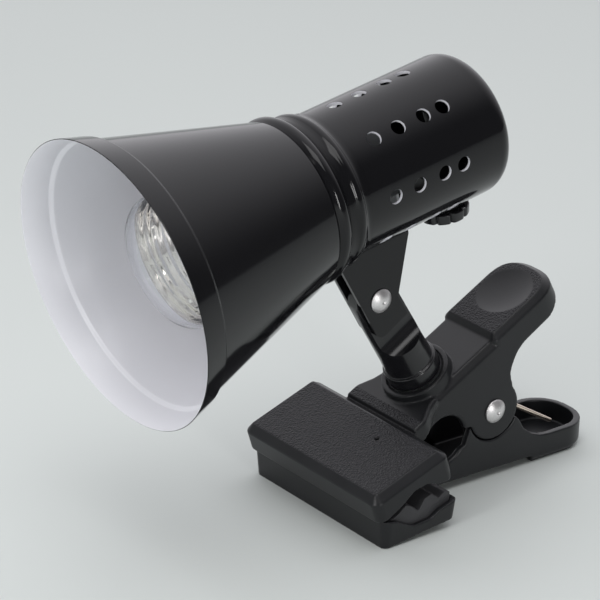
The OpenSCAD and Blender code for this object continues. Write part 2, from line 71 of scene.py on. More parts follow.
# remeshing of the moulded levers
VOXEL, EASE, EASE_PASSES = 0.42, 0.5, 4
# how near and how well aligned a face must be to take its outline's normal
SKIN_GAP, SKIN_TIE, SKIN_FACING = 0.08, 1e-4, 0.985

# ---- driving dimensions, in mm and degrees: S is measured along HEAD, U along WEB ----
# tilt rivet from the mouth, shade and housing
RIVET_S, RIVET_DROP = 108.5, 52.2
MOUTH_R, SHEET = 54.0, 0.5
HOUSING_R, HOUSING_WALL = 27.1, 1.2
HOUSING_FRONT, HOUSING_REAR, CORNER_R = 85.0, 160.7, 7.0
NECK_R, NECK_END = 27.62, 93.0
FRONT_BEAD, REAR_BEAD = (78.2, 28.7, 3.1), (87.4, 26.6, 2.8)
VENT_PLACES, VENT_ROWS, VENT_STEP, VENT_PHASE = (104.3, 115.4, 127.0, 135.8), 7, 48.0, -7.0
VENT_R, VENT_EASE, CUTTER_FOOT = 2.8, 0.12, 20
GLAND_R, CORD_R, BUSH_R, SWITCH_S = 4.0, 3.1, 5.0, 144.8
# bulb
BULB_FRONT, BULB_R, BULB_ORIGIN = 15.5, 25.0, 90
DOME_R, SHOULDER_R, GLASS_T = 41.3, 7.9, 0.6
RIPPLE, RIPPLE_STEP, BOWL_SPLIT = 0.22, 3.1, 4
# switch knob, heights along HEAD's Z
KNOB_R, KNOB_BOTTOM, KNOB_TOP, STEM_R, STEM_UP = 10.3, -32.9, -28.6, 2.4, 7
LOBES, LOBE_SEG = 10, 18
GROOVE_FROM, GROOVE_FADE, GROOVE_WIDTH, GROOVE_DEPTH = 7.5, 2.0, 0.11, 0.1
# yoke and rivets
YOKE_HALF, YOKE_T, FOLD_R = 5.0, 1.5, 3.3
TAB_SLANT, TAB_FRONT, TAB_REAR, TAB_DROP, TAB_R, WAIST_DROP = 21.7, -8.2, 6.9, 14.0, 3.4, 4.6
CHEEK_FRONT, CHEEK_REAR, CHEEK_TOP, YOKE_GAP, YOKE_BEVEL = 91.9, 124.5, -30.7, 0.03, 0.28
RIVET_R, TILT_HEAD_R, TILT_HEAD_H, PIVOT_HEAD_R, PIVOT_HEAD_H = 2.5, 4.6, 2.2, 4.7, 2.3
HEAD_EDGE, PIN_PLAY, PIVOT_PLAY, SET_R = 0.5, 0.05, 0.1, 0.95
# swivel post and its seat
FOOT_R, FOOT_BOTTOM, FOOT_TOP, TANG_R, TANG_HALF = 10.6, 3.9, 9.5, 9.2, 2.7
TILT_D, FLAT_START, RUN_OUT_R, POST_BEVEL = 45.5, 21.0, 7.5, 0.3
BOSS_X, BOSS_Z, BOSS_R, RECESS_R, RECESS_Z, SEAT_Z = -26.2, 15.3, 13.8, 11.2, 2.8, -5.4
# levers
WEB_SLOPE, HALF_W, WALL = 29.0, 15.0, 2.8
STEP_U, PAD_W, PAD_END, PAD_CORNER, CHAMFER = 28.0, 2.2, 64.5, 13.5, 2.5
END_WALL, DISH_U, DISH_R, DISH_DEPTH = 2.4, 48.2, 36.4, 1.9
EAR_R, THROAT, THROAT_R = 11.7, (-24.0, -6.2), 9.7
# jaws, grips and lugs
JAW_HALF, JAW_CORNER, JAW_CHAMFER, JAW_WALL = 39.5, 3.5, 3.0, 2.2
JAW_RISE, JAW_RUN, SCREW_HOLE_R, DIMPLE_R = 10.4, 29.6, 2.05, 0.9
LUG_R, LUG_T, LUG_GAP, EAR_GAP = 10.5, 2.7, 0.3, 0.5
GRIP_INSET, GRIP_RIM = 2.5, 0.25
# lower handle
PIVOT_H, FLOOR_T, FOOT_X, LEVER_END = 28.0, 2.6, 22.5, 53.0
INNER_W = HALF_W - WALL
# spring: legs as angle, length and steps
WIRE_R, COIL_R, TURNS, LEG_Y, COIL_STEPS = 0.9, 4.4, 7, 5.4, 36
LOW_LEG, LOW_LENGTH, LOW_STEPS = -31.0, 42, 12
HIGH_LEG, HIGH_LENGTH, HIGH_STEPS = 85.0, 33, 10
# half lengths that reach past the levers and past the jaws
DEEP, DEEPER = 20, 60


# ---- local frames ----
def axes(origin, z_axis):
    """Frame in mm at a point, its Z along z_axis and its Y along the row's Y."""
    z = Vector(z_axis).normalized()
    y = Vector((0, 1, 0))
    x = y.cross(z)
    turn = Matrix((x, y, z)).transposed().to_4x4()
    return Matrix.Translation(Vector(origin)) @ turn @ Matrix.Scale(MM, 4)


def shift(x, y, z):
    return Matrix.Translation((x, y, z))


def about(axis, degrees):
    return Matrix.Rotation(math.radians(degrees), 4, axis)


head_up = -Vector(joints["switch_turn"]["axis"])
HEAD = axes(joints["head_tilt"]["pos_m"], head_up) @ shift(-RIVET_S, 0, RIVET_DROP)
POST = axes(joints["post_swivel"]["pos_m"], joints["post_swivel"]["axis"])
CLAMP = axes(joints["clamp_pivot"]["pos_m"], (0, 0, 1))
WEB = CLAMP @ shift(BOSS_X, 0, BOSS_Z) @ about("Y", -WEB_SLOPE)
bulb_axis = Vector(joints["bulb_turn"]["axis"])
bulb_up = Vector((-bulb_axis.z, 0, bulb_axis.x))
BULB = axes(joints["bulb_turn"]["pos_m"], bulb_up) @ shift(-BULB_ORIGIN, 0, 0)
TILT_PIN = HEAD @ shift(RIVET_S, 0, -RIVET_DROP) @ about("Z", 90)
PIVOT_PIN = CLAMP @ about("Z", 90)
POST_UP = POST @ about("Y", -90)
SIDE = about("X", 90)
ACROSS = Matrix(((0, 0, 1, 0), (1, 0, 0, 0), (0, 1, 0, 0), (0, 0, 0, 1)))


# ---- outlines ----
def arc(cx, cy, r, a0, a1, n):
    """Points of an arc from a0 to a1 degrees in n steps."""
    steps = [math.radians(a0 + (a1 - a0) * i / n) for i in range(n + 1)]
    return [(cx + r * math.cos(a), cy + r * math.sin(a)) for a in steps]


def rounded(points, radius=0.0, n=6, closed=True):
    """Outline with its corners filleted. A point may carry its own radius as a third number."""
    out = []
    count = len(points)
    for i, p in enumerate(points):
        here = Vector(p[:2])
        r = p[2] if len(p) > 2 else radius
        at_end = not closed and i in (0, count - 1)
        a = Vector(points[i - 1][:2]) - here
        b = Vector(points[(i + 1) % count][:2]) - here
        short = min(a.length, b.length)
        half = a.angle(b) / 2 if short >= TINY else 0
        if r <= 0 or at_end or short < TINY or half > NEARLY_STRAIGHT:
            out.append(tuple(here))
            continue
        reach = min(r / math.tan(half), FILLET_SHARE * short)
        start, end = here + a.normalized() * reach, here + b.normalized() * reach
        for k in range(n + 1):
            t = k / n
            q = start * (1 - t) ** 2 + here * 2 * t * (1 - t) + end * t * t
            out.append(tuple(q))
    return out


def inset(outline, d):
    """Outline moved inwards by d, for a counter-clockwise outline."""
    if abs(d) < TINY:
        return list(outline)
    out = []
    count = len(outline)
    for i in range(count):
        p = Vector(outline[i])
        a = (p - Vector(outline[i - 1])).normalized()
        b = (Vector(outline[(i + 1) % count]) - p).normalized()
        na, nb = Vector((-a.y, a.x)), Vector((-b.y, b.x))
        m = na + nb
        m = m / max(m.dot(na), MITRE_LIMIT)
        out.append(tuple(p + m * d))
    return out


def area(outline):
    """Area of an outline, positive if it runs counter-clockwise."""
    pairs = zip(outline, outline[1:] + outline[:1])
    return sum(a[0] * b[1] - b[0] * a[1] for a, b in pairs) / 2


def rounded_box(x0, x1, half, r, n=10):
    """Rectangle from x0 to x1, half wide on either side, with corners of radius r."""
    corners = [(x1 - r, -half + r, -90), (x1 - r, half - r, 0),
               (x0 + r, half - r, 90), (x0 + r, -half + r, 180)]
    out = []
    for cx, cy, a in corners:
        out += arc(cx, cy, r, a, a + 90, n)
    return out


def web_pt(u, w):
    """Point of the upper lever in CLAMP's X and Z, from one along and one off its sloping top."""
    a = math.radians(WEB_SLOPE)
    return (BOSS_X + u * math.cos(a) - w * math.sin(a), BOSS_Z + u * math.sin(a) + w * math.cos(a))


# ---- mesh building ----
def mesh_object(name, verts, faces, matrix):
    mesh = bpy.data.meshes.new(name)
    mesh.from_pydata([tuple(matrix @ Vector(v)) for v in verts], [], faces)
    mesh.validate()
    obj = bpy.data.objects.new(name, mesh)
    bpy.context.scene.collection.objects.link(obj)
    return obj


def turned(name, line, matrix, seg=TURN, closed=True):
    """Solid of revolution about the frame's X from (x, radius) points."""
    verts, rows = [], []
    for x, r in line:
        if r < TINY:
            rows.append([len(verts)])
            verts.append((x, 0, 0))
            continue
        rows.append(list(range(len(verts), len(verts) + seg)))
        for k in range(seg):
            a = 2 * math.pi * k / seg
            verts.append((x, r * math.cos(a), r * math.sin(a)))
    pairs = list(zip(rows, rows[1:]))
    if closed:
        pairs.append((rows[-1], rows[0]))
    faces = []
    for a, b in pairs:
        for k in range(seg):
            m = (k + 1) % seg
            if len(a) > 1 and len(b) > 1:
                faces.append((a[k], a[m], b[m], b[k]))
            elif len(a) > 1:
                faces.append((a[k], a[m], b[0]))
            elif len(b) > 1:
                faces.append((a[0], b[m], b[k]))
    obj = mesh_object(name, verts, faces, matrix)
    outwards(obj)
    return obj


def stack(name, outline, levels, matrix):
    """Solid from one outline at several (height, inset) levels."""
    if area(outline) < 0:
        outline = outline[::-1]
    n = len(outline)
    verts = []
    for z, d in levels:
        verts += [(x, y, z) for x, y in inset(outline, d)]
    faces = [tuple(reversed(range(n))), tuple(range(len(verts) - n, len(verts)))]
    for level in range(len(levels) - 1):
        a, b = level * n, (level + 1) * n
        for k in range(n):
            m = (k + 1) % n
            faces.append((a + k, a + m, b + m, b + k))
    obj = mesh_object(name, verts, faces, matrix)
    outwards(obj)
    return obj


def rims(z0, z1, r):
    """Levels of a plate whose two rims are rounded by r."""
    quarter = [math.pi / 2 * k / RIM_STEPS for k in range(RIM_STEPS + 1)]
    low = [(z0 + r - r * math.cos(a), r - r * math.sin(a)) for a in quarter]
    high = [(z1 - r + r * math.cos(a), r - r * math.sin(a)) for a in reversed(quarter)]
    return low + high


def plate(name, outline, y0, y1, rim, matrix):
    """Plate in the frame's X-Z plane between y0 and y1."""
    levels = rims(-y1, -y0, rim) if rim > 0 else [(-y1, 0), (-y0, 0)]
    return stack(name, outline, levels, matrix @ SIDE)


def outwards(obj):
    """Turns the faces of a closed mesh outwards."""
    bm = bmesh.new()
    bm.from_mesh(obj.data)
    bmesh.ops.recalc_face_normals(bm, faces=bm.faces)
    bm.to_mesh(obj.data)
    bm.free()


def settled(obj):
    """Applies the object's modifiers to its mesh."""
    graph = bpy.context.evaluated_depsgraph_get()
    mesh = bpy.data.meshes.new_from_object(obj.evaluated_get(graph))
    obj.modifiers.clear()
    obj.data = mesh
    return obj


def combine(obj, others, mode):
    """Joins or cuts a solid by others, which are used up."""
    for other in others:
        step = obj.modifiers.new("solid", "BOOLEAN")
        step.operation = mode
        step.solver = "MANIFOLD"
        step.object = other
        settled(obj)
        bpy.data.objects.remove(other)
    return obj


def add(obj, *others):
    return combine(obj, others, "UNION")


def cut(obj, *others):
    return combine(obj, others, "DIFFERENCE")


def keep(obj, *others):
    return combine(obj, others, "INTERSECT")


def moulded(obj):
    """Rounds every edge of a solid a little, as on a moulded part."""
    net = obj.modifiers.new("net", "REMESH")
    net.mode = "VOXEL"
    net.voxel_size = VOXEL * MM
    ease = obj.modifiers.new("ease", "SMOOTH")
    ease.factor = EASE
    ease.iterations = EASE_PASSES
    return settled(obj)


def smooth(obj, sharp=SHARP):
    """Shades a piece smooth, keeping its sharp edges."""
    for face in obj.data.polygons:
        face.use_smooth = True
    obj.data.set_sharp_from_angle(angle=sharp)
    return obj


def softened(obj, width):
    """Bevels the hard edges and weights the normals towards the large faces."""
    bevel = obj.modifiers.new("edge", "BEVEL")
    bevel.width = width * MM
    bevel.segments = 2
    bevel.limit_method = "ANGLE"
    bevel.angle_limit = SHARP
    bevel.use_clamp_overlap = True
    settled(obj)
    smooth(obj)
    weigh = obj.modifiers.new("normals", "WEIGHTED_NORMAL")
    weigh.keep_sharp = True
    return settled(obj)


def share_along(spot, a, b):
    """How far along the line from a to b the point nearest the spot is, from 0 to 1."""
    d = b - a
    return max(0.0, min(1.0, (spot - a).dot(d) / max(d.length_squared, TINY)))


def line_normals(line):
    """Pieces of a closed outline as (start, end, normal), and the blended normals at each one's ends."""
    count = len(line)
    flat = []
    for i in range(count):
        a, b = Vector(line[i]), Vector(line[(i + 1) % count])
        d = (b - a).normalized() if (b - a).length > TINY else Vector((1, 0))
        flat.append((a, b, Vector((-d.y, d.x))))
    ends = []
    for i in range(count):
        before, here, after = flat[i - 1][2], flat[i][2], flat[(i + 1) % count][2]
        start = (before + here).normalized() if before.dot(here) > math.cos(SHARP) else here
        end = (after + here).normalized() if after.dot(here) > math.cos(SHARP) else here
        ends.append((start, end))
    return flat, ends


def exact_normals(obj, line, matrix):
    """Gives the faces of a turned surface, cut or not, the normals of its smooth outline."""
    flat, ends = line_normals(line)
    back = matrix.inverted()
    turn = matrix.to_3x3().normalized()
    mesh = obj.data
    normals = [None] * len(mesh.loops)
    for face in mesh.polygons:
        centre = back @ face.center
        local = (turn.transposed() @ face.normal).normalized()
        radial = Vector((0, centre.y, centre.z)).normalized()
        spot = Vector((centre.x, math.hypot(centre.y, centre.z)))
        best, near = None, math.inf
        for i, (a, b, n) in enumerate(flat):
            gap = (spot - a - (b - a) * share_along(spot, a, b)).length
            if gap < near - SKIN_TIE:
                best, near = i, gap
        a, b, n = flat[best]
        facing = (Vector((n.x, 0, 0)) + radial * n.y).dot(local)
        matched = near < SKIN_GAP and abs(facing) > SKIN_FACING
        for loop in face.loop_indices:
            if not matched:
                normals[loop] = face.normal.copy()
                continue
            p = back @ mesh.vertices[mesh.loops[loop].vertex_index].co
            out = Vector((0, p.y, p.z)).normalized()
            t = share_along(Vector((p.x, math.hypot(p.y, p.z))), a, b)
            m = ends[best][0].lerp(ends[best][1], t).normalized()
            m = m if facing > 0 else -m
            normals[loop] = (turn @ (Vector((m.x, 0, 0)) + out * m.y)).normalized()
    for face in mesh.polygons:
        face.use_smooth = True
    mesh.normals_split_custom_set([tuple(n) for n in normals])
    return obj


def paint(obj, materials, rule):
    """Gives each face the material that rule(centre, normal) picks."""
    obj.data.materials.clear()
    for m in materials:
        obj.data.materials.append(m)
    for face in obj.data.polygons:
        face.material_index = rule(face.center, face.normal)
    return obj


def finished(obj, material):
    """Gives the whole piece one material."""
    return paint(obj, [material], lambda centre, normal: 0)


def place(obj, body, slot, *nodes):
    """Rides the piece on its body instead of its CAD nodes. Its slot is not used."""
    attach(obj, body)
    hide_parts(*nodes)
    return obj


# ---- materials ----
CLOUD_SIZE, GRAIN_DETAIL, CLOUD_DETAIL, TONE_FROM, TONE_TO = 12, 4.0, 3.0, 0.3, 0.7


def surface(name, colour, rough, metallic=0.0, grain=400.0, spread=0.15, tone=0.12, bump=0.05, depth=0.00005,
            specular=0.5, fine=0.0):
    """Procedural finish: clouds vary its colour and roughness, a grain and fine cells its height."""
    m = bpy.data.materials.new(name)
    m.use_nodes = True
    nodes, links = m.node_tree.nodes, m.node_tree.links
    shader = nodes["Principled BSDF"]
    shader.inputs["Metallic"].default_value = metallic
    shader.inputs["Specular IOR Level"].default_value = specular
    where = nodes.new("ShaderNodeTexCoord")
    noise = nodes.new("ShaderNodeTexNoise")
    noise.inputs["Scale"].default_value = grain
    noise.inputs["Detail"].default_value = GRAIN_DETAIL
    links.new(where.outputs["Object"], noise.inputs["Vector"])
    cloud = nodes.new("ShaderNodeTexNoise")
    cloud.inputs["Scale"].default_value = grain / CLOUD_SIZE
    cloud.inputs["Detail"].default_value = CLOUD_DETAIL
    links.new(where.outputs["Object"], cloud.inputs["Vector"])
    ramp = nodes.new("ShaderNodeValToRGB")
    low = [c * (1 - tone) for c in colour]
    high = [min(1.0, c * (1 + tone)) for c in colour]
    ramp.color_ramp.elements[0].color = (*low, 1)
    ramp.color_ramp.elements[1].color = (*high, 1)
    ramp.color_ramp.elements[0].position = TONE_FROM
    ramp.color_ramp.elements[1].position = TONE_TO
    links.new(cloud.outputs["Fac"], ramp.inputs["Fac"])
    links.new(ramp.outputs["Color"], shader.inputs["Base Color"])
    to_rough = nodes.new("ShaderNodeMapRange")
    to_rough.inputs["To Min"].default_value = max(0.0, rough * (1 - spread))
    to_rough.inputs["To Max"].default_value = min(1.0, rough * (1 + spread))
    links.new(cloud.outputs["Fac"], to_rough.inputs["Value"])
    links.new(to_rough.outputs["Result"], shader.inputs["Roughness"])
    height = noise.outputs["Fac"]
    if fine > 0:
        cells = nodes.new("ShaderNodeTexVoronoi")
        cells.inputs["Scale"].default_value = fine
        links.new(where.outputs["Object"], cells.inputs["Vector"])
        both = nodes.new("ShaderNodeMath")
        both.operation = "ADD"
        links.new(noise.outputs["Fac"], both.inputs[0])
        links.new(cells.outputs["Distance"], both.inputs[1])
        height = both.outputs["Value"]
    relief = nodes.new("ShaderNodeBump")
    relief.inputs["Strength"].default_value = bump
    relief.inputs["Distance"].default_value = depth
    links.new(height, relief.inputs["Height"])
    links.new(relief.outputs["Normal"], shader.inputs["Normal"])
    return m


def lamp_glass():
    """Clear, faintly uneven glass."""
    m = surface("bulb_clear_glass", (0.97, 0.98, 1.0), 0.015, grain=45, tone=0.01, bump=0.05, depth=0.0004)
    shader = m.node_tree.nodes["Principled BSDF"]
    shader.inputs["Transmission Weight"].default_value = 1.0
    shader.inputs["IOR"].default_value = 1.45
    return m


enamel = surface("gloss_black_enamel", (0.006, 0.006, 0.007), 0.1, grain=260, spread=0.3, bump=0.02,
                 depth=0.0002, specular=0.32)
white_enamel = surface("white_enamel", (0.72, 0.72, 0.76), 0.3, grain=300, tone=0.02, bump=0.05,
                       depth=0.0001)
spark_black = surface("spark_textured_plastic", (0.026, 0.026, 0.029), 0.5, grain=1000, tone=0.1,
                      bump=1.0, depth=0.00055, specular=0.25, fine=1300)
satin_black = surface("satin_moulded_plastic", (0.011, 0.0115, 0.013), 0.36, grain=700, tone=0.1, bump=0.1,
                      depth=0.0001, specular=0.35)
gloss_black = surface("gloss_black_paint", (0.008, 0.008, 0.0095), 0.2, grain=300, spread=0.3, bump=0.02,
                      depth=0.0002)
rivet_metal = surface("domed_rivet_steel", (0.74, 0.72, 0.72), 0.42, metallic=1, grain=900, tone=0.06,
                      bump=0.12, depth=0.00006)
zinc = surface("zinc_plated_steel", (0.68, 0.69, 0.7), 0.34, metallic=1, grain=500, tone=0.12, bump=0.08)
rubber = surface("grip_rubber", (0.04, 0.04, 0.043), 0.6, grain=900, tone=0.1, bump=0.3, depth=0.0001,
                 fine=1500)
wire_metal = surface("spring_wire", (0.8, 0.68, 0.58), 0.25, metallic=1, grain=1200, tone=0.1, bump=0.1)
brass = surface("brass_strip", (0.78, 0.58, 0.28), 0.28, metallic=1, grain=500, tone=0.1)
nickel = surface("nickel_screw_cap", (0.72, 0.68, 0.6), 0.24, metallic=1, grain=500, tone=0.08)
silvered = surface("silvered_reflector", (0.9, 0.88, 0.85), 0.04, metallic=1, grain=45, tone=0.03, bump=0.35,
                   depth=0.001)
tungsten = surface("filament_mount", (0.5, 0.5, 0.52), 0.3, metallic=1, grain=600)
grey_plastic = surface("holder_thermoplastic", (0.42, 0.43, 0.45), 0.42, grain=600, tone=0.05, bump=0.08)
black_plastic = surface("black_thermoplastic", (0.02, 0.02, 0.022), 0.3, grain=600, tone=0.1, bump=0.08)
clear = lamp_glass()

SLOT_LOOKS = {
    "enamel": enamel, "black_plastic": black_plastic, "zinc_steel": zinc, "grey_thermoplastic": grey_plastic,
    "brass": brass, "clear_glass": clear, "silvered_glass": silvered, "nickel_brass": nickel,
    "tungsten": tungsten, "gloss_knob": gloss_black, "bright_rivet": rivet_metal, "gloss_post": gloss_black,
    "clamp_moulding": satin_black, "grip_rubber": rubber, "spring_wire": wire_metal,
}
for part in record["subparts"]:
    node = frame["nodes"][part["node"]]
    node.data.materials.clear()
    node.data.materials.append(SLOT_LOOKS[part["material_slot"]])

# ---- rules for faces: least share of an outward one, most of a vent's wall, least of an upward one ----
OUTWARD, ACROSS_WALL, UPWARD = 0.35, 0.3, 0.97


def local_view(matrix, centre, normal):
    """A face's centre and normal seen in a local frame."""
    return matrix.inverted() @ centre, matrix.to_3x3().normalized().transposed() @ normal


def radial_share(at, normal):
    """How much of a normal points away from the frame's X axis."""
    return Vector((0, at.y, at.z)).normalized().dot(Vector((0, normal.y, normal.z)))


def only_skin_black(centre, normal):
    """Rule: 1 where a face of the shade looks towards its axis or along it, else 0."""
    at, n = local_view(HEAD, centre, normal)
    return 0 if radial_share(at, n) > OUTWARD else 1


# ---- shade ----
shade_out = rounded([
    (0, MOUTH_R), (9.6, MOUTH_R - 2.8, 0.9), (10.7, MOUTH_R - 4.3, 1.2), (74.5, 31.4, 2.0),
    (75.6, 30.7, 0.6),
], n=5, closed=False)
shade_out += arc(*FRONT_BEAD, 125, 25, 12)
shade_out += [(82.6, 28.75), (84.0, 28.9)]
shade_out += arc(*REAR_BEAD, 125, 40, 10)
shade_out += [(90.4, NECK_R + 0.25), (91.6, NECK_R), (NECK_END, NECK_R)]
shade_in = [(x, r - SHEET) for x, r in reversed(shade_out)]
rim = [(-0.12, MOUTH_R - SHEET + 0.12), (-0.18, MOUTH_R - SHEET / 2), (-0.12, MOUTH_R - 0.12)]
shade_line = shade_out + shade_in + rim
shade = smooth(turned("shade_enamelled", shade_line, HEAD, seg=SHADE_TURN))
paint(shade, [enamel, white_enamel], only_skin_black)
place(shade, "head", "enamel", "shade")

# ---- housing ----
r_in = HOUSING_R - HOUSING_WALL
housing_line = [(HOUSING_FRONT, HOUSING_R - 0.2), (HOUSING_FRONT + 0.2, HOUSING_R)]
housing_line += arc(HOUSING_REAR - CORNER_R, HOUSING_R - CORNER_R, CORNER_R, 90, 0, 14)
housing_line += [(HOUSING_REAR, GLAND_R), (HOUSING_REAR - HOUSING_WALL, GLAND_R)]
housing_line += arc(HOUSING_REAR - CORNER_R, HOUSING_R - CORNER_R, CORNER_R - HOUSING_WALL, 0, 90, 10)
housing_line += [(HOUSING_FRONT, r_in)]
housing = turned("housing_enamelled", housing_line, HEAD)


def vent_tool():
    """All the vents and the switch's hole as one cutter of loose rods, their edges eased at the skin."""
    rods = []
    wide = VENT_R + VENT_EASE
    eased = [(CUTTER_FOOT, VENT_R), (HOUSING_R - VENT_EASE, VENT_R), (HOUSING_R + 0.02, wide)]
    bore = [(CUTTER_FOOT, 0)] + eased + [(HOUSING_R + 3, wide), (HOUSING_R + 3, 0)]
    for row in range(VENT_ROWS):
        for s in VENT_PLACES:
            angle = (row - (VENT_ROWS - 1) / 2) * VENT_STEP + VENT_PHASE
            at = HEAD @ about("X", angle) @ shift(s, 0, 0) @ about("Y", -90)
            rods.append(turned("rod", bore, at, seg=40, closed=False))
    at = HEAD @ shift(SWITCH_S, 0, 0) @ about("Y", 90)
    bore = [(CUTTER_FOOT, 0), (CUTTER_FOOT, BUSH_R), (30, BUSH_R), (30, 0)]
    rods.append(turned("rod", bore, at, seg=48, closed=False))
    bpy.ops.object.select_all(action="DESELECT")
    for rod in rods:
        rod.select_set(True)
    bpy.context.view_layer.objects.active = rods[0]
    bpy.ops.object.join()
    return rods[0]


cut(housing, vent_tool())
exact_normals(housing, housing_line, HEAD)


def vent_walls_painted_highlight(centre, normal):
    """Rule: 1 on the vent walls, where white is a painted highlight for the lit inside; 0 on the skin inside and
    out.
    """
    at, n = local_view(HEAD, centre, normal)
    return 1 if abs(radial_share(at, n)) < ACROSS_WALL and at.x < HOUSING_REAR - CORNER_R else 0


# The white on the vent walls is a painted highlight, standing in for the bright lit inside seen through each vent.
paint(housing, [enamel, white_enamel], vent_walls_painted_highlight)
place(housing, "head", "enamel", "housing")

# ---- cord gland ----
gland_line = rounded([
    (HOUSING_REAR - 5, CORD_R), (HOUSING_REAR - 5, GLAND_R + 1.4, 0.3),
    (HOUSING_REAR - SHEET, GLAND_R + 1.4), (HOUSING_REAR - SHEET, GLAND_R),
    (HOUSING_REAR, GLAND_R), (HOUSING_REAR, GLAND_R + 2, 0.3),
    (HOUSING_REAR + 1.2, GLAND_R + 2, 0.4), (HOUSING_REAR + 2, GLAND_R + 1.3, 0.3),
    (HOUSING_REAR + 5, GLAND_R + 0.8, 0.5), (HOUSING_REAR + 5, CORD_R, 0.4),
], n=4)
gland = smooth(turned("cord_gland_moulded", gland_line, HEAD, seg=96))
finished(gland, black_plastic)
place(gland, "head", "black_plastic", "cord_gland")

# ---- reflector bulb ----
shoulder_at = BULB_R - SHOULDER_R
shoulder_angle = math.degrees(math.asin(shoulder_at / (DOME_R - SHOULDER_R)))
belly_s = BULB_FRONT + DOME_R - (DOME_R - SHOULDER_R) * math.cos(math.radians(shoulder_angle))
dome = arc(BULB_FRONT + DOME_R, 0, DOME_R, 180, 180 - shoulder_angle, 20)
dome += arc(belly_s, shoulder_at, SHOULDER_R, 180 - shoulder_angle, 90, 12)[1:]
dome[0] = (BULB_FRONT, 0.0)
dome_in = [(belly_s + (x - belly_s) * (1 - GLASS_T / (belly_s - BULB_FRONT)), r * (1 - GLASS_T / BULB_R))
           for x, r in reversed(dome)]
glass = smooth(turned("bulb_glass_blown", dome + dome_in, BULB, closed=False))
finished(glass, clear)
place(glass, "bulb", "clear_glass", "bulb_glass")

bowl = rounded([(belly_s, BULB_R), (33, 24.7), (39, 23.4), (45, 21.2), (51, 18.2), (56, 15.2), (61, 12.3),
                (66, 10.1), (71, 8.8), (73, 8.6), (75.5, 8.6)], radius=20, n=5, closed=False)
bowl = [(x, r) for a, b in zip(bowl, bowl[1:]) for x, r in
        [(a[0] + (b[0] - a[0]) * k / BOWL_SPLIT, a[1] + (b[1] - a[1]) * k / BOWL_SPLIT)
         for k in range(BOWL_SPLIT)]] + bowl[-1:]
bowl_in = [(x, r - GLASS_T - RIPPLE * (0.5 - 0.5 * math.cos(2 * math.pi * (x - belly_s) / RIPPLE_STEP)))
           for x, r in reversed(bowl)]
bowl_in[-1] = (belly_s, BULB_R - GLASS_T)
reflector = smooth(turned("bulb_reflector_blown", bowl + bowl_in, BULB))
finished(reflector, silvered)
place(reflector, "bulb", "silvered_glass", "bulb_reflector")


# ---- switch knob ----
def lobed_knob():
    """Knob whose side has wide lobes between narrow grooves."""
    face = rounded([(KNOB_BOTTOM + 0.35, 0), (KNOB_BOTTOM + 0.35, 6.2, 0.6), (KNOB_BOTTOM, 7.2, 0.6),
                    (KNOB_BOTTOM, KNOB_R - 0.4, 0.9), (KNOB_TOP, KNOB_R, 0.7), (KNOB_TOP, STEM_R)],
                   n=5, closed=False)
    line = face + [(KNOB_TOP + STEM_UP, STEM_R), (KNOB_TOP + STEM_UP, 0)]
    at = HEAD @ shift(SWITCH_S, 0, 0) @ about("Y", -90)
    knob = turned("switch_knob_lobed", line, at, seg=LOBES * LOBE_SEG, closed=False)
    back = at.inverted()
    for v in knob.data.vertices:
        p = back @ v.co
        r = math.hypot(p.y, p.z)
        if r < GROOVE_FROM:
            continue
        part = (math.atan2(p.z, p.y) / (2 * math.pi) * LOBES) % 1.0
        groove = math.exp(-((part - 0.5) / GROOVE_WIDTH) ** 2)
        deep = min(1.0, (r - GROOVE_FROM) / GROOVE_FADE)
        k = 1 - GROOVE_DEPTH * groove * deep
        v.co = at @ Vector((p.x, p.y * k, p.z * k))
    return smooth(knob)


knob = lobed_knob()
finished(knob, gloss_black)
place(knob, "knob", "gloss_knob", "switch_knob")


# ---- yoke ----
def arch(half, top, r):
    """Arch with rounded shoulders, in Y and Z, its legs far longer than the yoke."""
    foot = -90
    left = arc(r - half, top - r, r, 180, 90, 10)
    return [(-half, foot)] + left + [(-x, z) for x, z in reversed(left)] + [(half, foot)]


def tab_pt(x, z):
    """Point on a cheek measured from the rivet, square to the lower end."""
    a = math.radians(TAB_SLANT)
    return (RIVET_S + x * math.cos(a) - z * math.sin(a), -RIVET_DROP + x * math.sin(a) + z * math.cos(a))


def folded_yoke():
    """Strip folded into two cheeks under the housing."""
    top = -HOUSING_R - YOKE_GAP
    outer = arch(YOKE_HALF, top, FOLD_R)
    inner = arch(YOKE_HALF - YOKE_T, top - YOKE_T, FOLD_R - YOKE_T)
    yoke = stack("yoke_folded", outer, [(CHEEK_FRONT, 0), (CHEEK_REAR, 0)], HEAD @ ACROSS)
    cut(yoke, stack("inside", inner, [(CHEEK_FRONT - 5, 0), (CHEEK_REAR + 5, 0)], HEAD @ ACROSS))
    outline = rounded([(NECK_END + 0.3, -20), (CHEEK_REAR, -20), (CHEEK_REAR, CHEEK_TOP, 2)],
                      n=8, closed=False)
    outline.append((CHEEK_REAR - 0.2, CHEEK_TOP - 0.6))
    outline += [tab_pt(TAB_REAR, -WAIST_DROP), tab_pt(TAB_REAR, -TAB_DROP)]
    corner = tab_pt(TAB_FRONT + TAB_R, TAB_R - TAB_DROP)
    outline += arc(*corner, TAB_R, TAB_SLANT - 90, TAB_SLANT - 180, 16)
    outline += [(CHEEK_FRONT, CHEEK_TOP), (NECK_END + 0.3, CHEEK_TOP + 1.2)]
    keep(yoke, plate("cheek", outline, -DEEP, DEEP, 0, HEAD))
    bore = [(-DEEP, 0), (-DEEP, RIVET_R), (DEEP, RIVET_R), (DEEP, 0)]
    cut(yoke, turned("rod", bore, TILT_PIN, seg=48, closed=False))
    return softened(yoke, YOKE_BEVEL)


yoke = folded_yoke()
finished(yoke, enamel)
place(yoke, "head", "enamel", "yoke")


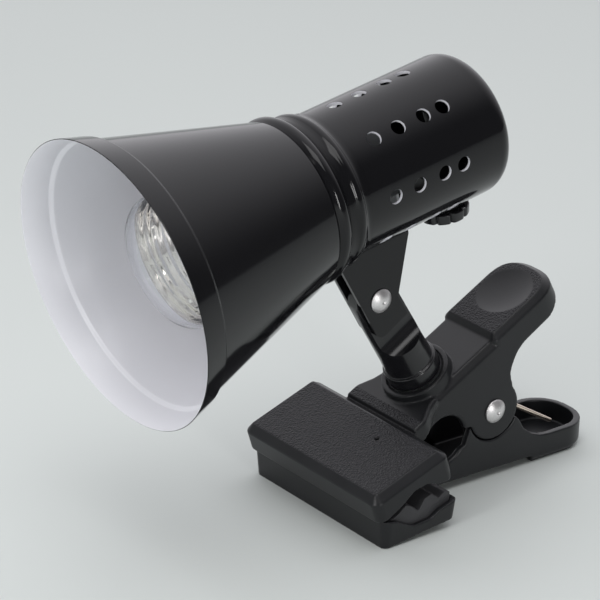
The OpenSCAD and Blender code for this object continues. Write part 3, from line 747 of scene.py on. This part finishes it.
# ---- rivets ----
def domed_rivet(name, half, head_r, head_h, matrix):
    """Shank with two domed heads, each with a setting dimple."""
    dome_h = head_h - HEAD_EDGE
    dome_r = (head_r ** 2 + dome_h ** 2) / (2 * dome_h)
    a0 = math.degrees(math.asin(head_r / dome_r))
    a1 = math.degrees(math.asin(SET_R / dome_r))
    head = [(half, RIVET_R), (half, head_r - 0.15), (half + 0.12, head_r), (half + 0.42, head_r)]
    cap = [(half + head_h - dome_r + x, r) for x, r in arc(0, 0, dome_r, a0, a1, 12)]
    head += cap
    tip = cap[-1][0]
    head += [(tip - 0.05, 0.75), (tip - 0.35, 0.5), (tip - 0.4, 0)]
    line = [(-x, r) for x, r in reversed(head)] + head
    rivet = smooth(turned(name, line, matrix, seg=96, closed=False), ROUND_SHARP)
    finished(rivet, rivet_metal)
    return rivet


tilt_rivet = domed_rivet("tilt_rivet_domed", YOKE_HALF, TILT_HEAD_R, TILT_HEAD_H, TILT_PIN)
place(tilt_rivet, "head", "bright_rivet", "tilt_rivet")
pivot_rivet = domed_rivet("pivot_rivet_domed", HALF_W + PIVOT_PLAY, PIVOT_HEAD_R, PIVOT_HEAD_H, PIVOT_PIN)
place(pivot_rivet, "lower_clamp", "bright_rivet", "pivot_rivet")


# ---- swivel post ----
def turned_post():
    """Round post with a flat tang on top and a run-out where each flat begins."""
    line = rounded([
        (FOOT_BOTTOM, 2.0), (FOOT_BOTTOM, FOOT_R, 0.4), (FOOT_TOP, FOOT_R, 1.3), (FOOT_TOP + 0.5, 9.6, 0.6),
        (16, 9.3, 30), (38, TANG_R, 30), (60, TANG_R), (60, 2.0),
    ], n=8)
    post = turned("post_turned", line, POST_UP)
    crown = [(-12, 0), (12, 0), (12, 30), (TANG_R + 0.02, 38)] + arc(0, TILT_D, TANG_R, 0, 180, 48)
    crown += [(-TANG_R - 0.02, 38), (-12, 30)]
    keep(post, plate("crown", crown, -DEEP, DEEP, 0, POST))
    side = [(TANG_HALF, 80), (TANG_HALF, FLAT_START + RUN_OUT_R)]
    side += arc(TANG_HALF + RUN_OUT_R, FLAT_START + RUN_OUT_R, RUN_OUT_R, 180, 270, 24)[1:]
    side += [(24, FLAT_START), (24, 80)]
    mirror = Matrix.Scale(-1, 4, (0, 1, 0))
    cut(post, stack("flat", side, [(-DEEP, 0), (DEEP, 0)], POST @ ACROSS))
    cut(post, stack("flat", side, [(-DEEP, 0), (DEEP, 0)], POST @ mirror @ ACROSS))
    bore_r = RIVET_R + PIN_PLAY
    bore = [(-DEEP, 0), (-DEEP, bore_r), (DEEP, bore_r), (DEEP, 0)]
    cut(post, turned("rod", bore, POST @ shift(0, 0, TILT_D) @ about("Z", 90), seg=48, closed=False))
    return softened(post, POST_BEVEL)


post = turned_post()
finished(post, gloss_black)
place(post, "swivel", "gloss_post", "post")


# ---- clamp levers ----
def chamfered(top, bottom, c):
    """Levels of a block with a chamfered top."""
    return [(bottom, 0), (top - c, 0), (top, c)]


def flared_rod(half):
    """Cutter for a round throat whose rims are eased."""
    wide = THROAT_R + 0.9
    line = [(-half - 9, 0), (-half - 9, wide), (-half - 0.2, wide), (-half + 0.9, THROAT_R),
            (half - 0.9, THROAT_R), (half + 0.2, wide), (half + 9, wide), (half + 9, 0)]
    at = CLAMP @ shift(THROAT[0], 0, THROAT[1]) @ about("Z", 90)
    return turned("throat", line, at, seg=96, closed=False)


def rod_y(r, half, seg=72):
    """Round bar across the clamp, on its pivot."""
    at = CLAMP @ about("Z", 90)
    return turned("rod", [(-half, 0), (-half, r), (half, r), (half, 0)], at, seg=seg, closed=False)


def upper_body():
    """Hollow middle of the upper lever: sloping web, thumb pad and ears."""
    side = [
        web_pt(-19, 3), web_pt(PAD_END + 3, 6), web_pt(PAD_END + 3, -5.5), web_pt(60, -8.2) + (6,),
        web_pt(55, -10) + (14,), web_pt(36, -10.6) + (16,), web_pt(28, -17.5) + (14,), (9.6, 6.8, 8),
        (0, -4), (-11.2, -4), (-14.8, -3.6), (-24, -5), (-34, -3), (-42.4, -3.2),
    ]
    web = stack("web", rounded_box(-40, STEP_U + 6, HALF_W, 0.6), chamfered(0, -70, CHAMFER), WEB)
    front = STEP_U - 0.9
    pad_plan = rounded([(front, -HALF_W, 2.7), (PAD_END, -HALF_W, PAD_CORNER),
                        (PAD_END, HALF_W, PAD_CORNER), (front, HALF_W, 2.7)], n=16)
    pad = stack("pad", pad_plan, [(-70, 0), (PAD_W - CHAMFER, 0), (PAD_W, CHAMFER)], WEB)
    add(web, pad)
    keep(web, plate("side", rounded(side, n=8), -DEEP, DEEP, 0, CLAMP))
    add(web, rod_y(EAR_R, HALF_W, seg=128))
    hollow = [
        web_pt(-15, -3), web_pt(STEP_U, -3), web_pt(STEP_U + 1, PAD_W - 3), web_pt(PAD_END + 3, PAD_W - 3),
        web_pt(PAD_END + 3, -14), web_pt(20, -50), (-39.5, -20),
    ]
    inside = stack("hollow", rounded_box(-60, PAD_END - END_WALL, INNER_W, PAD_CORNER - END_WALL, n=12),
                   [(-80, 0), (80, 0)], WEB)
    keep(inside, plate("side", hollow, -INNER_W - 1, INNER_W + 1, 0, CLAMP))
    cut(web, inside)
    cut(web, rod_y(EAR_R + 1.5, INNER_W))
    return web


def jaw_block(line, pocket, top_at, slope, front, rear, levels):
    """Wide jaw: a block with chamfered edges, its underside from a side outline, hollowed by a pocket."""
    at = CLAMP @ shift(*top_at) @ about("Y", -slope)
    block = stack("jaw", rounded_box(front, rear, JAW_HALF, JAW_CORNER), levels, at)
    keep(block, plate("line", line, -DEEPER, DEEPER, 0, CLAMP))
    cut(block, plate("pocket", pocket, -JAW_HALF + JAW_WALL, JAW_HALF - JAW_WALL, 0, CLAMP))
    return block


def upper_lever():
    """Upper clamp half: sloping jaw, root, post seat with its cup, thumb dish and throat."""
    slope = math.degrees(math.atan2(JAW_RISE, JAW_RUN))
    line = rounded([
        (-82, 20), (-82, -8), (-76, -16.4), (-74.6, -16.4), (-71.6, -15.4, 3), (-64.3, -11, 4),
        (-59.3, -6.9, 4), (-53.2, -5.8, 4), (-47.4, -7.4, 3), (-42.2, -7), (-40, 4), (-40, 20),
    ], n=6)
    pocket = [(-73.4, -11.4), (-71.8, -6.8), (-47, 1.8), (-44.6, 1), (-44.6, -9), (-47.4, -12), (-60, -20),
              (-71.6, -20)]
    jaw = jaw_block(line, pocket, top_at=(-61.2, 0, 0), slope=slope, front=-18.3, rear=17.9,
                    levels=chamfered(0, -40, JAW_CHAMFER))
    body = upper_body()
    root_plan = rounded([(-26, -20), (-15, -20, 5), (-9, -16.5, 5), (-4, -15), (-4, 15), (-9, 16.5, 5),
                         (-15, 20, 5), (-26, 20)], n=6)
    root = stack("root", root_plan, [(-20, 0), (-0.9, 0), (0, 0.9)], WEB)
    keep(root, plate("line", [web_pt(-19.5, 2), web_pt(-3, 2), web_pt(-3, -WALL), (-40, -1), (-42.4, -1)],
                     -30, 30, 0, CLAMP))
    boss_line = rounded([(-3, 0), (-3, BOSS_R), (4, BOSS_R - 0.4, 0.7), (4, RECESS_R, 0.3),
                         (RECESS_Z, RECESS_R), (RECESS_Z, 0)], n=5, closed=False)
    boss = turned("boss", boss_line, POST_UP, seg=160, closed=False)
    seat = turned("seat", [(SEAT_Z, 0), (SEAT_Z, 7), (0, 7), (0, 0)], POST_UP, seg=64, closed=False)
    add(body, root, jaw, boss, seat)
    cup = turned("cup", [(RECESS_Z, 0), (RECESS_Z, RECESS_R), (RECESS_Z + 3, RECESS_R), (RECESS_Z + 3, 0)],
                 POST_UP, seg=128, closed=False)
    hole = turned("hole", [(-DEEP, 0), (-DEEP, SCREW_HOLE_R), (DEEP, SCREW_HOLE_R), (DEEP, 0)],
                  POST_UP, seg=32, closed=False)
    dish = turned("dish", [(x, max(r, 0)) for x, r in arc(0, 0, DISH_R, 180, 0, 96)],
                  WEB @ shift(DISH_U, 0, PAD_W + DISH_R - DISH_DEPTH), seg=160, closed=False)
    dimple = turned("dimple", [(-2, 0), (-2, DIMPLE_R), (2, DIMPLE_R), (2, 0)],
                    CLAMP @ shift(-55, -12, 2.2) @ about("Y", -90), seg=24, closed=False)
    cut(body, cup, hole, dish, dimple, flared_rod(HALF_W), rod_y(RIVET_R + PIN_PLAY, 40))
    body.name = "upper_lever_moulded"
    return moulded(body)


def lower_body():
    """Hollow lower handle with a lug inside each ear of the upper lever."""
    side = [
        (-40, -16.2), (-22, -15.2), (-14, -11), (-11.9, -5.2), (-10, -2), (0, 4), (11, -5.2),
        (13.2, -7.2, 4), (16.3, -12, 6), (20.6, -15.2, 6), (25, -16.8, 6), (30, -17.4, 8),
        (60, -17.4), (60, -30), (FOOT_X, -30), (FOOT_X - 1.5, -25, 1), (-40, -24),
    ]
    shell = stack("tray", rounded_box(-60, LEVER_END, HALF_W, PAD_CORNER, n=16),
                  [(-PIVOT_H, CHAMFER * 0.6), (-PIVOT_H + CHAMFER * 0.9, 0), (20, 0)], CLAMP)
    keep(shell, plate("side", rounded(side, n=8), -DEEP, DEEP, 0, CLAMP))
    floor_z = -PIVOT_H + FLOOR_T
    hollow_side = [(-36, -21.2), (-36, 20), (60, 20), (60, floor_z), (FOOT_X + 1, floor_z),
                   (FOOT_X - 1.5, WALL - 25)]
    hollow = stack("hollow", rounded_box(-60, LEVER_END - END_WALL, INNER_W, PAD_CORNER - END_WALL, n=12),
                   [(-PIVOT_H, 0), (30, 0)], CLAMP)
    keep(hollow, plate("side", hollow_side, -DEEP, DEEP, 0, CLAMP))
    cut(shell, hollow, rod_y(EAR_R + EAR_GAP, HALF_W + 1, seg=128))
    lug_out = INNER_W - LUG_GAP
    lug_in = lug_out - LUG_T
    for side_sign in (1, -1):
        y0, y1 = sorted((side_sign * lug_in, side_sign * lug_out))
        foot0, foot1 = sorted((side_sign * lug_in, side_sign * (INNER_W + 0.5)))
        disc = plate("lug", arc(0, 0, LUG_R, 0, 355, 71), y0, y1, 0.3, CLAMP)
        foot = plate("foot", [(-LUG_R, -2), (-LUG_R, -18), (-6, -24), (8, -24), (12, -18), (LUG_R, -2)],
                     foot0, foot1, 0, CLAMP)
        trim0, trim1 = sorted((side_sign * lug_out, side_sign * (HALF_W + 2)))
        cut(foot, plate("trim", arc(0, 0, EAR_R + EAR_GAP, 0, 355, 71), trim0, trim1, 0, CLAMP))
        add(shell, disc, foot)
    return shell


def lower_lever():
    """Lower clamp half: level jaw, hollow handle and throat."""
    line = rounded([
        (-78, -29), (-78, -16.3), (-73, -16.3), (-67, -17.2, 4), (-62.5, -19.6, 4), (-58, -21.6, 3),
        (-50.6, -21, 3), (-46.3, -18.4, 3), (-38.2, -15.9, 1), (-37.4, -16.6), (-37.4, -24),
        (-71.2, -PIVOT_H),
    ], n=6)
    pocket = [(-70.2, 0), (-70.2, -25.2), (-39.8, -21.6), (-39.8, 0)]
    jaw = jaw_block(line, pocket, top_at=(-55.2, 0, 0), slope=0, front=-17.6, rear=17.8,
                    levels=[(-PIVOT_H, 1.2), (-16, 0), (0, 0)])
    body = lower_body()
    add(body, jaw)
    cut(body, flared_rod(HALF_W), rod_y(RIVET_R, 40))
    body.name = "lower_lever_moulded"
    return moulded(body)


def spark_faces(centre, normal):
    """Rule: 1 on the upward faces of the jaw and of the pad around its dish, else 0."""
    jaw_end_u, margin = -16, 0.2
    at, n = local_view(WEB, centre, normal)
    in_dish = math.hypot(at.x - DISH_U, at.y) < math.sqrt(2 * DISH_R * DISH_DEPTH) - margin
    on_pad = at.x > STEP_U and not in_dish
    return 1 if n.z > UPWARD and (at.x < jaw_end_u or on_pad) else 0


upper = smooth(upper_lever(), MOULD_SHARP)
paint(upper, [satin_black, spark_black], spark_faces)
place(upper, "upper_clamp", "clamp_moulding", "upper_lever")

lower = smooth(lower_lever(), MOULD_SHARP)
finished(lower, satin_black)
place(lower, "lower_clamp", "clamp_moulding", "lower_lever")

# ---- toothed grips ----
upper_grip_line = rounded([
    (-73, -11.6), (-71.6, -7.2), (-47, 1.4), (-45, 0.7), (-45, -7.6), (-48, -8.4, 0.8), (-50, -6.8, 0.8),
    (-53.5, -7.6, 0.8), (-56.5, -6.6, 0.8), (-60, -7.6, 0.8), (-62, -10, 0.8), (-65.5, -12, 0.8),
    (-69, -14.2, 0.8), (-71.4, -14.8, 0.5),
], n=4)
lower_grip_line = rounded([
    (-69.9, -25), (-69.9, -17.4, 0.5), (-66.5, -16.8, 1), (-64.8, -16, 1), (-61, -13.2, 1), (-58, -14.6, 1),
    (-54.8, -17.4, 1), (-52.2, -13, 1), (-49, -12, 1), (-45.4, -14.8, 1), (-42.9, -12.9, 1),
    (-40.2, -13.4, 0.5), (-40.1, -21.5),
], n=4)
for name, line, body, node in (("upper_grip_toothed", upper_grip_line, "upper_clamp", "upper_grip"),
                               ("lower_grip_toothed", lower_grip_line, "lower_clamp", "lower_grip")):
    grip = smooth(plate(name, line, -JAW_HALF + GRIP_INSET, JAW_HALF - GRIP_INSET, GRIP_RIM, CLAMP))
    finished(grip, rubber)
    place(grip, body, "grip_rubber", node)


# ---- torsion spring ----
def spring_path():
    """One wire: lower leg, coil, upper leg. Each leg leaves the coil along its tangent."""
    start, end = LOW_LEG + 90, HIGH_LEG - 90 + 360 * TURNS
    path = []
    low, first, high = math.radians(LOW_LEG), math.radians(start), math.radians(HIGH_LEG)
    for k in range(LOW_STEPS, 0, -1):
        d = LOW_LENGTH * k / LOW_STEPS
        path.append((COIL_R * math.cos(first) + math.cos(low) * d, -LEG_Y,
                     COIL_R * math.sin(first) + math.sin(low) * d))
    steps = TURNS * COIL_STEPS
    for k in range(steps + 1):
        t = k / steps
        a = math.radians(start + (end - start) * t)
        path.append((COIL_R * math.cos(a), -LEG_Y + 2 * LEG_Y * t, COIL_R * math.sin(a)))
    last = path[-1]
    for k in range(1, HIGH_STEPS + 1):
        d = HIGH_LENGTH * k / HIGH_STEPS
        path.append((last[0] + math.cos(high) * d, LEG_Y, last[2] + math.sin(high) * d))
    return path


def swept(name, path, radius, matrix):
    """Round wire along a path, with flat ends."""
    seg = WIRE_SIDES
    points = [Vector(p) for p in path]
    verts, faces = [], []
    side = Vector((0, 1, 0))
    for i, p in enumerate(points):
        a, b = points[max(i - 1, 0)], points[min(i + 1, len(points) - 1)]
        along = (b - a).normalized()
        side = (side - along * side.dot(along)).normalized()
        other = along.cross(side)
        for k in range(seg):
            t = 2 * math.pi * k / seg
            verts.append(tuple(p + (side * math.cos(t) + other * math.sin(t)) * radius))
    for i in range(len(points) - 1):
        for k in range(seg):
            m = (k + 1) % seg
            faces.append((i * seg + k, i * seg + m, (i + 1) * seg + m, (i + 1) * seg + k))
    faces += [tuple(range(seg)), tuple(range(len(verts) - seg, len(verts)))]
    obj = mesh_object(name, verts, faces, matrix)
    outwards(obj)
    return smooth(obj, ROUND_SHARP)


spring = swept("clamp_spring_wound", spring_path(), WIRE_R, CLAMP)
finished(spring, wire_metal)
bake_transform(spring)
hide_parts("clamp_spring")

# ---- floor, light and camera, in metres and degrees ----
FLOOR_HALF = 4.0
LIGHT_AIM = Vector((0, 0, 0.09))
floor_mesh = bpy.data.meshes.new("floor")
corners = [(-FLOOR_HALF, -FLOOR_HALF, 0), (FLOOR_HALF, -FLOOR_HALF, 0), (FLOOR_HALF, FLOOR_HALF, 0),
           (-FLOOR_HALF, FLOOR_HALF, 0)]
floor_mesh.from_pydata(corners, [], [(0, 1, 2, 3)])
floor = bpy.data.objects.new("floor", floor_mesh)
bpy.context.scene.collection.objects.link(floor)
pale_floor = surface("pale_floor", (0.62, 0.655, 0.635), 0.95, grain=30, tone=0.01, bump=0.02)
floor.data.materials.append(pale_floor)


def direction(azimuth, elevation):
    """Unit vector away from the lamp. Azimuth 0 is in front, on -Y; 90 is on +X."""
    a, e = math.radians(azimuth), math.radians(elevation)
    return Vector((math.sin(a) * math.cos(e), -math.cos(a) * math.cos(e), math.sin(e)))


def studio(bright_azimuth, bright_elevation, dim, bright, colour):
    """Sky that is bright on one side, the backdrop, and falls off softly towards the other."""
    world = bpy.data.worlds.new("studio")
    bpy.context.scene.world = world
    world.use_nodes = True
    nodes, links = world.node_tree.nodes, world.node_tree.links
    where = nodes.new("ShaderNodeTexCoord")
    dot = nodes.new("ShaderNodeVectorMath")
    dot.operation = "DOT_PRODUCT"
    dot.inputs[1].default_value = direction(bright_azimuth, bright_elevation)
    fade = nodes.new("ShaderNodeMapRange")
    fade.interpolation_type = "SMOOTHSTEP"
    fade.inputs["From Min"].default_value = 0.1
    fade.inputs["From Max"].default_value = 1.0
    fade.inputs["To Min"].default_value = dim
    fade.inputs["To Max"].default_value = bright
    links.new(where.outputs["Generated"], dot.inputs[0])
    links.new(dot.outputs["Value"], fade.inputs["Value"])
    links.new(fade.outputs["Result"], nodes["Background"].inputs["Strength"])
    nodes["Background"].inputs["Color"].default_value = (*colour, 1)


studio(bright_azimuth=150, bright_elevation=46, dim=0.1, bright=1.35, colour=(0.97, 0.96, 1.0))


def softbox(name, azimuth, elevation, distance, width, height, watts):
    """Rectangular white light looking at the lamp."""
    light = bpy.data.lights.new(name, "AREA")
    light.shape = "RECTANGLE"
    light.size, light.size_y = width, height
    light.energy = watts
    obj = bpy.data.objects.new(name, light)
    bpy.context.scene.collection.objects.link(obj)
    way = direction(azimuth, elevation)
    obj.location = LIGHT_AIM + way * distance
    obj.rotation_mode = "QUATERNION"
    obj.rotation_quaternion = (-way).to_track_quat("-Z", "Y")
    return obj


# name, azimuth, elevation, distance, width, height, watts
softbox("window_pane", -17, 10, 1.6, 0.04, 0.55, 1.2)
softbox("window_wide_pane", -9, 10, 1.6, 0.17, 0.55, 4.5)
softbox("left_window", -80, 14, 1.6, 0.2, 0.6, 5)
softbox("left_fill", -92, 30, 1.7, 1.4, 1.0, 6.5)
softbox("top_left", -40, 65, 1.5, 1.0, 0.8, 6.5)

AIM = Vector((-0.014, 0.0104, 0.0826))
CAMERA_AZIMUTH, CAMERA_ELEVATION, CAMERA_ROLL, CAMERA_DISTANCE = -38.95, 23.3, 2.09, 1.171
LENS, SENSOR, CLIP_NEAR, CLIP_FAR = 193.6, 36, 0.01, 100
camera = bpy.data.objects.new("camera", bpy.data.cameras.new("camera"))
bpy.context.scene.collection.objects.link(camera)
camera.data.lens, camera.data.sensor_width = LENS, SENSOR
away = direction(CAMERA_AZIMUTH, CAMERA_ELEVATION)
camera.location = AIM + away * CAMERA_DISTANCE
level = (-away).to_track_quat("-Z", "Y").to_matrix()
camera.rotation_euler = (level @ Matrix.Rotation(math.radians(CAMERA_ROLL), 3, "Z")).to_euler()
camera.data.clip_start, camera.data.clip_end = CLIP_NEAR, CLIP_FAR
bpy.context.scene.camera = camera
bpy.context.scene.view_settings.view_transform = "Standard"

bpy.context.view_layer.update()
